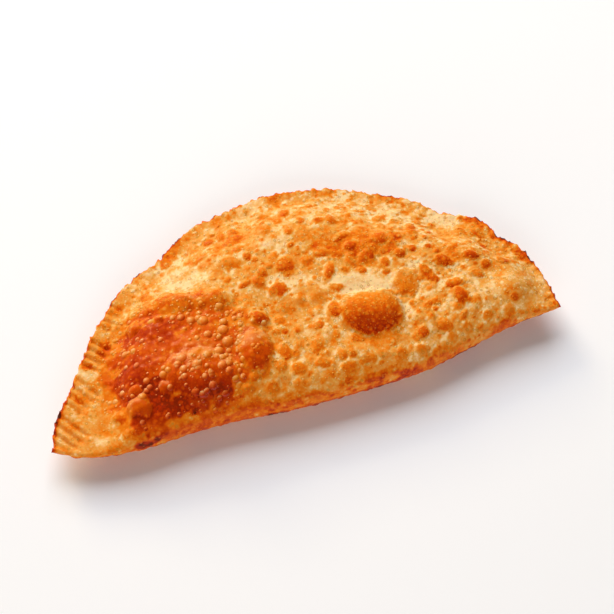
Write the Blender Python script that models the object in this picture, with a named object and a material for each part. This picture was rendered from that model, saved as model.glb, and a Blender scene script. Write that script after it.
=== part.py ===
"""Cheburek: a half-moon turnover of thin dough, crimped round its arc and deep fried.

The crust is one closed solid. Its outline is two curves between the same two tips: the fold,
almost straight, and the crimped arc. Ribs join the curves, and each rib carries a closed
cross-section of a top face, a rounded rim, an underside and a rounded fold. Swellings, blisters
and fork marks are then raised from that body along its own normals.
"""
import bpy
import numpy as np

MM = 0.001

# Outline, in millimetres: +X along the length, +Y from the fold to the crimped arc.
LENGTH = 220.0
TIP_Y = -42.0
MIDDLE_Y = -0.65
FOLD_POINTS = (
    (-98, -48.2), (-85, -50.6), (-72, -50.8), (-58, -49.8), (-38, -49.6), (-12, -51.8),
    (12, -52.4), (42, -51.8), (64, -48.0), (78, -44.8), (90, -43.2), (101, -42.8),
)
ARC_POINTS = (
    (-105.6, -28.8), (-98, -18.6), (-82, 5.4), (-75, 13.0), (-67, 22.0), (-55, 29.8),
    (-49, 31.8), (-36, 40.5), (-28, 45.2), (-17, 47.6), (-6, 49.6), (8, 51.0), (21, 49.3),
    (32, 47.3), (42, 44.2), (51, 39.6), (61, 34.8), (70, 29.3), (78, 20.4), (87, 15.0),
    (92, 11.8), (95.6, 6.0), (98, -0.7), (102, -5.2), (105.4, -10.4), (107.6, -18.8), (109.4, -29),
)

# Heights, in millimetres above the table.
SEAM_HEIGHT = 11.0
LEFT_TIP_LIFT = 1.5
RIGHT_TIP_LIFT = 2.5
RIM_HALF_THICKNESS = 1.6
BELLY_ABOVE_SEAM = 9.2
BELLY_BELOW_SEAM = 10.3

# The belly is deepest at its middle, and loses this share of its depth one radius away.
BELLY_MIDDLE = (-4.0, -16.0)
BELLY_RADII = (92.0, 46.0)
TOP_FALL = 0.12
UNDER_FALL = 0.42

# How far in from an edge the belly takes to reach its full depth.
FOLD_RUN = 17.0
RIM_RUN = 25.0
UNDER_FOLD_RUN = 19.0
UNDER_RIM_RUN = 30.0

# The flat crimped band, by its width at the left tip, along the arc and at the right tip.
BAND_LEFT_TIP = 21.0
BAND_ARC = 5.5
BAND_RIGHT_TIP = 4.0

# A fork is pressed in at even steps along the arc. In the left corner it lies askew, by so many
# degrees, and is pressed longer and deeper. The last entry of each list holds for the rest.
FORK_START = 11.0
FORK_STEP = 18.5
FORK_TINES = 4
FORK_SLANTS = (34.0, 24.0, 14.0, 6.0, 0.0)
FORK_LENGTHS = (16.0, 14.0, 12.0, 9.0, 6.5)
FORK_DEPTHS = (1.0, 0.95, 1.0, 0.7, 0.3)
CRIMP_PITCH = 3.6
CRIMP_DEPTH = 1.3
TOOTH_DEPTH = 0.75
UNDER_CRIMP_SHARE = 0.35

# Broad swellings: centre x, centre y, length, width, height, turn in degrees.
SWELLINGS = (
    (-44, -22, 66, 56, 4.0, -14),
    (-43, 4.5, 38, 10, 2.6, -12),
    (-28, 0, 13, 11, 2.0, 0),
    (-55, -8, 24, 13, -3.8, -20),
    (-66, -35, 26, 20, -1.2, 20),
    (-4, -18, 16, 44, -1.2, 8),
    (33, -35, 30, 12, -1.2, -14),
    (52, 2, 48, 24, 1.6, -30),
    (80, -6, 38, 12, 2.2, -40),
    (94, -27, 24, 20, 1.8, -60),
    (20, 30, 44, 16, 1.2, 0),
    (-40, 20, 26, 12, 0.9, 24),
    (66, -30, 30, 26, 1.0, -20),
)

# Blisters of the top: centre x, centre y, length, width, height, turn in degrees.
BLISTERS = (
    # the browned mound: its hump, its tall smooth dome and its bubbles
    (-44, -31, 33, 21, 3.2, -14), (-19.5, -28, 15, 20, 4.6, -12), (-13.5, -13.5, 8, 7.6, 2, 0),
    (-50.6, -24.6, 8.6, 9, 1.9, 0), (-64, 0, 7, 7, 1.6, 0), (-53.5, -1, 5, 3.5, 0.9, -20),
    (-59, -33, 6.6, 6, 1.9, -18), (-71, -30.4, 6, 5.8, 1.6, 0), (-70.8, -37, 10.2, 9, 2.4, -20),
    (-23.6, -38.6, 5, 4.6, 1, 0), (-80, -37, 6, 5, 1, 0),
    # the larger round bubbles that stand on the mound like drops
    (-49.5, -23.6, 4.6, 4.6, 1.8, 0), (-36.7, -8.4, 4.7, 4.7, 1.9, 0),
    (-41.1, -6.8, 3.7, 3.7, 1.5, 0), (-30.2, -15.5, 4.3, 4.3, 1.7, 0),
    (-29.3, -21.4, 4.4, 4.4, 1.8, 0), (-36.2, -15.7, 3.5, 3.5, 1.4, 0),
    (-44.7, -29.1, 4.2, 4.2, 1.7, 0), (-39, -26, 3.6, 3.6, 1.4, 0),
    (-33.8, -24.4, 4.2, 4.2, 1.7, 0), (-35, -32.3, 3.6, 3.6, 1.4, 0),
    (-40.9, -38.4, 3.6, 3.6, 1.4, 0), (-36.7, -41.5, 3.5, 3.5, 1.4, 0),
    (-48.4, -39, 3.6, 3.6, 1.4, 0),
    # the big blister in the middle with its neighbours
    (29.5, -24.5, 25, 19.5, 5.6, -18), (17.2, -18.4, 7, 9, 2, 0), (49.2, -15, 12, 14, 2.6, 0),
    (12.6, -9, 8, 10, 1.3, 0), (21, -8.4, 6.6, 5, 1, -18), (21, -0.4, 5, 11, 1.5, -35),
    (34.2, -4, 4.6, 4, 1, -18), (44.5, -3, 5.2, 5.2, 1.3, 0), (52, -1, 6.4, 5, 1.5, -18),
    (59.4, -12.6, 6, 9, 1.7, 10), (61.5, -16.6, 5, 5, 1.4, 0), (49, -39.2, 7, 5.6, 1.6, -18),
    (46, -46, 6.4, 6, 1.5, 0), (37, -46, 8, 7.6, 1.7, 0), (23.8, -43.4, 8.6, 5, 1.1, -10),
    (13.8, -39.4, 5.4, 5.4, 1.2, 0), (17.6, -40, 4.4, 4.6, 1, 0), (14.8, -46, 8, 7.6, 1.5, 0),
    (5.6, -31.8, 8.4, 8, 1.3, 0), (5.6, -40.6, 6.6, 4.4, 0.9, -18), (-8.2, -30.8, 7.4, 8, 1.5, 0),
    (-5, -40, 7.6, 7, 1.3, 0), (-6.4, -46.4, 8, 6, 1.4, 0), (-17.6, -45, 7.4, 6.6, 1.5, 0),
    (-27.6, -43, 6.4, 5.4, 1.2, 0), (14.4, -30, 3.8, 5, 0.8, 0), (-6, -16, 6.4, 5.4, 1, -10),
    # towards the right tip
    (69.4, -28, 8.4, 9.4, 2.4, 0), (67, -21.4, 4.6, 6, 1.5, 0), (70, -21.6, 6, 5, 1.6, 0),
    (75, -31.6, 5.6, 4.8, 1, 0), (58, -38.6, 9.6, 6, 1.2, -18), (68, -41.8, 6.4, 6, 1.3, 0),
    (60.4, -44, 6, 5, 1.2, 0), (77.6, -39, 5.4, 5, 1.2, 0), (76.6, -43.6, 7, 5, 1.1, 0),
    (68.6, -9.4, 9, 6, 1.7, -30), (80, -11, 7.4, 4, 1.3, -24), (84.8, -16, 5.6, 4.8, 1.2, 0),
    (93, -16, 6.6, 4.8, 1.2, -24), (80.4, -20, 5.4, 4.6, 1, 0), (91, -35.6, 6.4, 6.4, 1, 0),
    (87.2, -39, 6.4, 5, 1, 0), (90, 3, 11, 7, 1.2, -40),
    # the upper face, towards the arc
    (4.2, 8.6, 10.6, 9.6, 1.7, 0), (-2.4, -1.8, 10, 7.6, 1.5, -18), (33, 9, 6, 5, 1.3, 0),
    (31, 15, 8, 4, 1, 20), (40, 2.6, 4, 7, 1.2, 0), (46, 8.6, 8.6, 7, 1.4, 0),
    (20, 9.4, 9, 4.6, 1, -10), (29.4, 25, 5.6, 6.4, 1.4, 0), (62, 13, 5.4, 6, 1.3, 0),
    (70, 21, 5.6, 4.4, 1.1, -30), (57.6, 0, 4.6, 3.8, 1, 0), (-30, 26.6, 13, 8, 0.9, 10),
    (-22.6, 34, 6.4, 4.6, 1, 0), (-17.4, 17.4, 11, 7, 1, -10), (-9.8, 18, 4, 5.6, 1.1, 0),
    (-12, 23.6, 7.6, 4.6, 0.8, 0), (10.6, 24, 5, 4.8, 1, 0), (12, 36, 5.6, 6.6, 1.2, 0),
    (-6.2, 7.8, 5.6, 5.4, 1, 0), (-14.4, 4.6, 8, 3.4, 0.8, 10), (80.4, 5, 4.6, 5, 0.9, 0),
    (75, -4, 6.6, 4.6, 0.9, 0),
)

# Blisters of the underside, laid out in the same way.
UNDER_BLISTERS = (
    (-60, -18, 15, 12, 2.0, 0), (62, -20, 17, 12, 2.0, 30), (0, 24, 14, 11, 1.8, 0),
)

# How the profiles of swellings and blisters fall towards their edges.
SWELLING_REACH = 1.3
SWELLING_POWER = 1.6
BLISTER_POWER = 0.65

# Fineness of the sampled surface: steps from tip to tip, and steps round the fold, over the
# belly and round the rim. It is then thinned to the solid's count of triangles.
STATIONS = 400
TOP_ROWS = (22, 84, 5)
UNDER_ROWS = (12, 26, 4)
SOLID_TRIANGLES = 10400
FLAT_SPOT_HEIGHT = 0.12

CRUST_COLOUR = (0.72, 0.27, 0.055, 1.0)
CRUST_ROUGHNESS = 0.42


def smooth_step(x):
    """S-curve from 0 to 1 as x goes from 0 to 1, level at both ends."""
    x = np.clip(x, 0.0, 1.0)
    return x * x * (3.0 - 2.0 * x)


def quarter_round(x):
    """Quarter circle: 0 with an upright tangent at x = 0, level at 1 from x = 1 on."""
    return np.sqrt(np.clip(1.0 - (1.0 - np.clip(x, 0.0, 1.0)) ** 2, 0.0, 1.0))


def curve_through(points, count):
    """Catmull-Rom curve through the points, sampled at equal steps of its own length."""
    knots = np.array(points, dtype=float)
    knots = np.vstack([2 * knots[0] - knots[1], knots, 2 * knots[-1] - knots[-2]])
    t = np.linspace(0.0, 1.0, 40, endpoint=False)[:, None]
    spans = []
    for a, b, c, d in zip(knots, knots[1:], knots[2:], knots[3:]):
        cubic = 2 * b + (c - a) * t + (2 * a - 5 * b + 4 * c - d) * t ** 2
        spans.append(0.5 * (cubic + (3 * b - a - 3 * c + d) * t ** 3))
    fine = np.vstack(spans + [knots[-2][None]])
    run = np.concatenate([[0.0], np.cumsum(np.linalg.norm(np.diff(fine, axis=0), axis=1))])
    at = np.linspace(0.0, run[-1], count)
    return np.column_stack([np.interp(at, run, fine[:, 0]), np.interp(at, run, fine[:, 1])])


def tangents(curve):
    """Unit direction of a plan curve at each of its points."""
    step = np.gradient(curve, axis=0)
    return step / np.linalg.norm(step, axis=1)[:, None]


def cross_2d(a, b):
    """Size of the cross product of plan directions: the sine of the angle between them."""
    return np.abs(a[:, 0] * b[:, 1] - a[:, 1] * b[:, 0])


def rib_steps(width, fold_round, rim_round, rows):
    """Distances from the fold along each rib, one rib a row of the result.

    They follow a cosine round the fold, even steps over the belly and a sine round the rim,
    so that the steps stay even on the curved face as well.
    """
    fold_rows, belly_rows, rim_rows = rows
    angle = np.linspace(0.0, np.pi / 2, fold_rows, endpoint=False)
    at_fold = fold_round[:, None] * (1.0 - np.cos(angle))
    even = np.linspace(0.0, 1.0, belly_rows, endpoint=False)
    at_belly = fold_round[:, None] + (width - fold_round - rim_round)[:, None] * even
    angle = np.linspace(0.0, np.pi / 2, rim_rows)
    at_rim = width[:, None] - rim_round[:, None] * (1.0 - np.sin(angle))
    return np.hstack([at_fold, at_belly, at_rim])


def band_width(x):
    """Width of the flat crimped band, broad in the left corner and narrow at the right tip."""
    left = smooth_step((-52.0 - x) / 46.0)
    right = smooth_step((x - 70.0) / 30.0)
    return BAND_ARC + (BAND_LEFT_TIP - BAND_ARC) * left + (BAND_RIGHT_TIP - BAND_ARC) * right


def seam_height(x, y):
    """Height of the seam: level, with lifted tips and a slight wave."""
    left = LEFT_TIP_LIFT * smooth_step((-x - 62.0) / 48.0)
    right = RIGHT_TIP_LIFT * smooth_step((x - 66.0) / 44.0)
    wave = 0.7 * np.sin(x / 17.0 + 0.6) * smooth_step((y + 20.0) / 50.0)
    return SEAM_HEIGHT + left + right + wave


def belly(x, y, depth, fall):
    """Depth of the belly away from its edges: a paraboloid, deepest at its middle."""
    away_x = (x - BELLY_MIDDLE[0]) / BELLY_RADII[0]
    away_y = (y - BELLY_MIDDLE[1]) / BELLY_RADII[1]
    return depth * (1.0 - fall * np.minimum(away_x ** 2 + away_y ** 2, 2.0))


def edge_fade(fold_gap, rim_gap, fold_run, rim_run):
    """Share of the belly's depth near its edges: round at the fold, an S-curve to the band."""
    return quarter_round(fold_gap / fold_run) ** 0.9 * smooth_step(rim_gap / rim_run) ** 0.8


def lump(x, y, place, power):
    """Rounded lump (1 - r^2)^power over a turned ellipse, where r is 1 on its edge."""
    centre_x, centre_y, length, width, height, turn = place
    cos, sin = np.cos(np.radians(turn)), np.sin(np.radians(turn))
    along = ((x - centre_x) * cos + (y - centre_y) * sin) / (length / 2)
    across = ((y - centre_y) * cos - (x - centre_x) * sin) / (width / 2)
    return height * np.clip(1.0 - along ** 2 - across ** 2, 0.0, 1.0) ** power


def swellings(x, y):
    """Sum of the broad swellings, each a bell that reaches past its own ellipse."""
    total = np.zeros_like(x)
    for centre_x, centre_y, length, width, height, turn in SWELLINGS:
        wide = (centre_x, centre_y, SWELLING_REACH * length, SWELLING_REACH * width, height, turn)
        total += lump(x, y, wide, SWELLING_POWER)
    return total


def blisters(x, y, places):
    """Highest of the blisters at each point."""
    total = np.zeros_like(x)
    for place in places:
        total = np.maximum(total, lump(x, y, place, BLISTER_POWER))
    return total


def fork_marks(arc, along, x, y):
    """Grooves of the fork, pressed in beside one another along the arc, 0 to 1 deep.

    Each press is a patch of parallel grooves, a raised cosine across them, that starts at the
    rim and runs inward, turned from the rim's inward normal by the press's own slant.
    """
    marks = np.zeros_like(x)
    way = tangents(arc)
    for k in range(int((along[-1] - FORK_START) / FORK_STEP) + 1):
        slant, length, depth = (
            row[min(k, len(row) - 1)] for row in (FORK_SLANTS, FORK_LENGTHS, FORK_DEPTHS))
        at = FORK_START + k * FORK_STEP
        start_x, start_y = (np.interp(at, along, arc[:, axis]) for axis in (0, 1))
        way_x, way_y = (np.interp(at, along, way[:, axis]) for axis in (0, 1))
        turn = np.arctan2(way_y, way_x) - np.pi / 2 - np.radians(slant)
        reach = (x - start_x) * np.cos(turn) + (y - start_y) * np.sin(turn)
        across = (y - start_y) * np.cos(turn) - (x - start_x) * np.sin(turn)
        half = FORK_TINES * CRIMP_PITCH / 2
        patch = smooth_step((half - np.abs(across)) / 1.2) * smooth_step((length - reach) / 3.5)
        groove = (0.5 - 0.5 * np.cos(2 * np.pi * across / CRIMP_PITCH)) ** 1.2
        marks = np.maximum(marks, depth * groove * patch)
    return marks


def crust_sheet(rows, side):
    """One face of the crust as arrays over stations and rows, from the fold to the rim.

    side is 1 for the top and -1 for the underside. Returns the points of the smooth body, and
    the relief to be raised along its normals.
    """
    tips = ((-LENGTH / 2, TIP_Y), (LENGTH / 2, TIP_Y))
    fold = curve_through((tips[0],) + FOLD_POINTS + (tips[1],), STATIONS + 1)
    arc = curve_through((tips[0],) + ARC_POINTS + (tips[1],), STATIONS + 1)
    along = np.concatenate([[0.0], np.cumsum(np.linalg.norm(np.diff(arc, axis=0), axis=1))])
    fold_way, arc_way = tangents(fold), tangents(arc)
    fold, arc, along = fold[1:-1], arc[1:-1], along[1:-1]
    rib = arc - fold
    width = np.linalg.norm(rib, axis=1)
    rib = rib / width[:, None]
    fold_sine = np.maximum(cross_2d(rib, fold_way[1:-1]), 0.3)
    arc_sine = np.maximum(cross_2d(rib, arc_way[1:-1]), 0.3)
    fold_round = np.minimum(FOLD_RUN / fold_sine, 0.4 * width)
    rim_round = np.minimum(RIM_HALF_THICKNESS / arc_sine, 0.2 * width)
    step = rib_steps(width, fold_round, rim_round, rows)
    x = fold[:, :1] + rib[:, :1] * step
    y = fold[:, 1:] + rib[:, 1:] * step
    fold_gap = step * fold_sine[:, None]
    rim_gap = (width[:, None] - step) * arc_sine[:, None]
    edge = quarter_round(fold_gap / RIM_HALF_THICKNESS) * quarter_round(rim_gap / RIM_HALF_THICKNESS)
    inner_gap = rim_gap - band_width(x)
    if side > 0:
        swell = belly(x, y, BELLY_ABOVE_SEAM, TOP_FALL)
        swell = swell * edge_fade(fold_gap, inner_gap, FOLD_RUN, RIM_RUN)
    else:
        swell = belly(x, y, BELLY_BELOW_SEAM, UNDER_FALL)
        swell = swell * edge_fade(fold_gap, inner_gap, UNDER_FOLD_RUN, UNDER_RIM_RUN)
    marks = fork_marks(arc, along, x, y) * smooth_step(fold_gap / 5.0)
    tooth = TOOTH_DEPTH * (0.5 - 0.5 * np.cos(2 * np.pi * along / CRIMP_PITCH))[:, None]
    tooth = tooth * (1.0 - smooth_step(rim_gap / 3.0)) * smooth_step(fold_gap / 4.0)
    z = seam_height(x, y) + side * (RIM_HALF_THICKNESS * edge + swell)
    relief = surface_relief(x, y, marks, fold_gap, rim_gap, side)
    return np.stack([x - rib[:, :1] * tooth, y - rib[:, 1:] * tooth, z], axis=2), relief


def surface_relief(x, y, marks, fold_gap, rim_gap, side):
    """Relief along the normals: swellings and blisters on the faces, fork marks on the band."""
    inside = smooth_step(fold_gap / 9.0) * smooth_step((rim_gap - 0.5 * BAND_ARC) / 8.0)
    groove = CRIMP_DEPTH * marks * quarter_round(rim_gap / RIM_HALF_THICKNESS)
    if side > 0:
        return (swellings(x, y) + blisters(x, y, BLISTERS)) * inside - groove
    return blisters(x, y, UNDER_BLISTERS) * inside - UNDER_CRIMP_SHARE * groove


def surface_normals(points):
    """Unit normals of a grid of points, from the steps along both of its directions."""
    across = np.gradient(points, axis=1)
    along = np.gradient(points, axis=0)
    normal = np.cross(along, across)
    return normal / np.maximum(np.linalg.norm(normal, axis=2), 1e-9)[:, :, None]


def raised_face(rows, side):
    """Points of one face with its relief raised, resting no lower than the table."""
    points, relief = crust_sheet(rows, side)
    points = points + side * surface_normals(points) * relief[:, :, None]
    points[:, :, 2] = np.maximum(points[:, :, 2], 0.0)
    return points


def crust_points():
    """Closed loops of points, one a station: over the top to the rim and back underneath."""
    top = raised_face(TOP_ROWS, 1)
    under = raised_face(UNDER_ROWS, -1)
    return np.concatenate([top, under[:, -2:0:-1]], axis=1)


def loop_faces(stations, around, left_pole, right_pole):
    """Quads between neighbouring loops, and a fan of triangles at each tip."""
    ring = np.arange(around)
    after = (ring + 1) % around
    row = np.arange(stations - 1)[:, None] * around
    quads = np.stack([row + ring, row + around + ring, row + around + after, row + after], axis=2)
    last = (stations - 1) * around
    left = np.stack([np.full(around, left_pole), ring, after], axis=1)
    right = np.stack([np.full(around, right_pole), last + after, last + ring], axis=1)
    return quads.reshape(-1, 4).tolist() + left.tolist() + right.tolist()


def crust_mesh():
    """Fine closed mesh of the whole crust, in metres."""
    loops = crust_points()
    stations, around, _ = loops.shape
    left_tip = (-LENGTH / 2, TIP_Y, SEAM_HEIGHT + LEFT_TIP_LIFT)
    right_tip = (LENGTH / 2, TIP_Y, SEAM_HEIGHT + RIGHT_TIP_LIFT)
    points = np.vstack([loops.reshape(-1, 3), left_tip, right_tip])
    points = (points - (0.0, MIDDLE_Y, 0.0)) * MM
    poles = (stations * around, stations * around + 1)
    mesh = bpy.data.meshes.new("crust_fine")
    mesh.from_pydata(points.tolist(), [], loop_faces(stations, around, *poles))
    mesh.update()
    return mesh


def thinned(mesh, triangles):
    """The mesh collapsed to about the given count of triangles, standing flat on the table."""
    holder = bpy.data.objects.new("crust_holder", mesh)
    bpy.context.collection.objects.link(holder)
    split = holder.modifiers.new("Triangles", "TRIANGULATE")
    split.quad_method = "SHORTEST_DIAGONAL"
    collapse = holder.modifiers.new("Thin", "DECIMATE")
    faces = 2 * len(mesh.polygons)
    collapse.ratio = triangles / faces
    depsgraph = bpy.context.evaluated_depsgraph_get()
    result = bpy.data.meshes.new_from_object(holder.evaluated_get(depsgraph))
    bpy.data.objects.remove(holder)
    for vertex in result.vertices:
        if vertex.co.z < FLAT_SPOT_HEIGHT * MM:
            vertex.co.z = 0.0
    return result


def crust_material():
    """Fried dough: golden orange, part glossy with fat."""
    material = bpy.data.materials.new("fried_dough")
    material.use_nodes = True
    shader = material.node_tree.nodes["Principled BSDF"]
    shader.inputs["Base Color"].default_value = CRUST_COLOUR
    shader.inputs["Roughness"].default_value = CRUST_ROUGHNESS
    shader.inputs["Metallic"].default_value = 0.0
    return material


def build():
    for old in list(bpy.data.objects):
        bpy.data.objects.remove(old)
    mesh = thinned(crust_mesh(), SOLID_TRIANGLES)
    mesh.name = "cheburek"
    mesh.materials.append(crust_material())
    mesh.shade_smooth()
    cheburek = bpy.data.objects.new("cheburek", mesh)
    bpy.context.collection.objects.link(cheburek)


build()
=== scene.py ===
"""Looks of the cheburek: its blistered, browned crust, a pale floor, soft light and the camera.

The crust is one closed surface on a grid of stations and rows. A station is a closed loop: over
the top from the fold to the crimped rim, and back along the underside. The smooth body comes
first, then relief is raised along its normals, and the same layers say how far each point is
browned, how wet with fat it looks and where it is pitted. Painted shade is added to the
browning on slopes and sides turned away from the light, and painted sheen and highlights on
those turned towards it.
"""
import math
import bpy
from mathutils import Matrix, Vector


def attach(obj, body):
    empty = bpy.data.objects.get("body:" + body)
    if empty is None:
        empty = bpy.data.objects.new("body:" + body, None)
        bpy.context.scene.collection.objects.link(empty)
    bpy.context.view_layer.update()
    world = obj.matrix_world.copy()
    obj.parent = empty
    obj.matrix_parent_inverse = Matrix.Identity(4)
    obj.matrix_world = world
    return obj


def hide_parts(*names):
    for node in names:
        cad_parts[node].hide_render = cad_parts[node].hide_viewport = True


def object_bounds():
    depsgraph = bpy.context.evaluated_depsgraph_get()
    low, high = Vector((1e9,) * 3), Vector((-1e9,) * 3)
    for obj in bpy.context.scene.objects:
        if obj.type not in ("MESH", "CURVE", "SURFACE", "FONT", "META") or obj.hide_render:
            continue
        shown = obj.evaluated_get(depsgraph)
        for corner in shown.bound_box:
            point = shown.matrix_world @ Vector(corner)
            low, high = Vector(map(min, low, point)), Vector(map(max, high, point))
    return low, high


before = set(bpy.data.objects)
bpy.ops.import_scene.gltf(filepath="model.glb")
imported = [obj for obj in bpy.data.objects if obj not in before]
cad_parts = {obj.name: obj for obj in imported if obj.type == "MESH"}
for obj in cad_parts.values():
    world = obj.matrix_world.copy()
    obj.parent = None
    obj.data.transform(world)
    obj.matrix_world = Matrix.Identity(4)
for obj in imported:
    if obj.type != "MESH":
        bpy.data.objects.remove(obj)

from types import SimpleNamespace

import bpy
import numpy as np
from mathutils import Vector

CAD_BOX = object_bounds()

bl_info = {
    "name": "Cheburek",
    "version": (1, 0, 0),
    "blender": (4, 5, 0),
    "location": "3D View > Sidebar > Cheburek",
    "description": "Fried half-moon turnover with its browned crust, floor, lights and camera",
    "category": "Add Mesh",
}

MM = 0.001

# Outline of the crust, in millimetres, as the solid has it: +X along the length and +Y from the
# fold to the crimped arc.
LENGTH = 220.0
TIP_Y = -42.0
MIDDLE_Y = -0.65
FOLD_POINTS = (
    (-98, -48.2), (-85, -50.6), (-72, -50.8), (-58, -49.8), (-38, -49.6), (-12, -51.8),
    (12, -52.4), (42, -51.8), (64, -48.0), (78, -44.8), (90, -43.2), (101, -42.8),
)
ARC_POINTS = (
    (-105.6, -28.8), (-98, -18.6), (-82, 5.4), (-75, 13.0), (-67, 22.0), (-55, 29.8),
    (-49, 31.8), (-36, 40.5), (-28, 45.2), (-17, 47.6), (-6, 49.6), (8, 51.0), (21, 49.3),
    (32, 47.3), (42, 44.2), (51, 39.6), (61, 34.8), (70, 29.3), (78, 20.4), (87, 15.0),
    (92, 11.8), (95.6, 6.0), (98, -0.7), (102, -5.2), (105.4, -10.4), (107.6, -18.8), (109.4, -29),
)

# Heights above the table, in millimetres.
SEAM_HEIGHT = 11.0
LEFT_TIP_LIFT = 1.5
RIGHT_TIP_LIFT = 2.5
BELLY_ABOVE_SEAM = 9.2
BELLY_BELOW_SEAM = 10.3
BELLY_MIDDLE = (-4.0, -16.0)
BELLY_RADII = (92.0, 46.0)
TOP_FALL = 0.12
UNDER_FALL = 0.42
FOLD_RUN = 17.0
RIM_RUN = 25.0
UNDER_FOLD_RUN = 19.0
UNDER_RIM_RUN = 30.0

# Stations on each side over which the crossing angle of ribs and edges is eased.
EASE_STATIONS = 16

# Width of the flat crimped band.
BAND_LEFT_TIP = 21.0
BAND_ARC = 5.5
BAND_RIGHT_TIP = 4.0

# A fork is pressed in at even steps along the arc. In the left corner it lies askew, by so many
# degrees, and is pressed longer and deeper. The last entry of each list holds for the rest.
FORK_START = 11.0
FORK_STEP = 18.5
FORK_TINES = 4
FORK_SLANTS = (34.0, 24.0, 14.0, 6.0, 0.0)
FORK_LENGTHS = (16.0, 14.0, 12.0, 9.0, 6.5)
FORK_DEPTHS = (1.0, 0.95, 1.0, 0.7, 0.3)

# Broad swellings: centre x, centre y, length, width, height, turn in degrees.
SWELLINGS = (
    (-44, -22, 66, 56, 4.0, -14),
    (-43, 4.5, 38, 10, 2.6, -12),
    (-28, 0, 13, 11, 2.0, 0),
    (-55, -8, 24, 13, -1.2, -20),
    (-66, -35, 26, 20, -1.2, 20),
    (-4, -18, 16, 44, -1.2, 8),
    (33, -35, 30, 12, -1.2, -14),
    (52, 2, 48, 24, 1.6, -30),
    (80, -6, 38, 12, 2.2, -40),
    (94, -27, 24, 20, 1.8, -60),
    (20, 30, 44, 16, 1.2, 0),
    (-40, 20, 26, 12, 0.7, 24),
    (66, -30, 30, 26, 1.0, -20),
)

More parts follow.
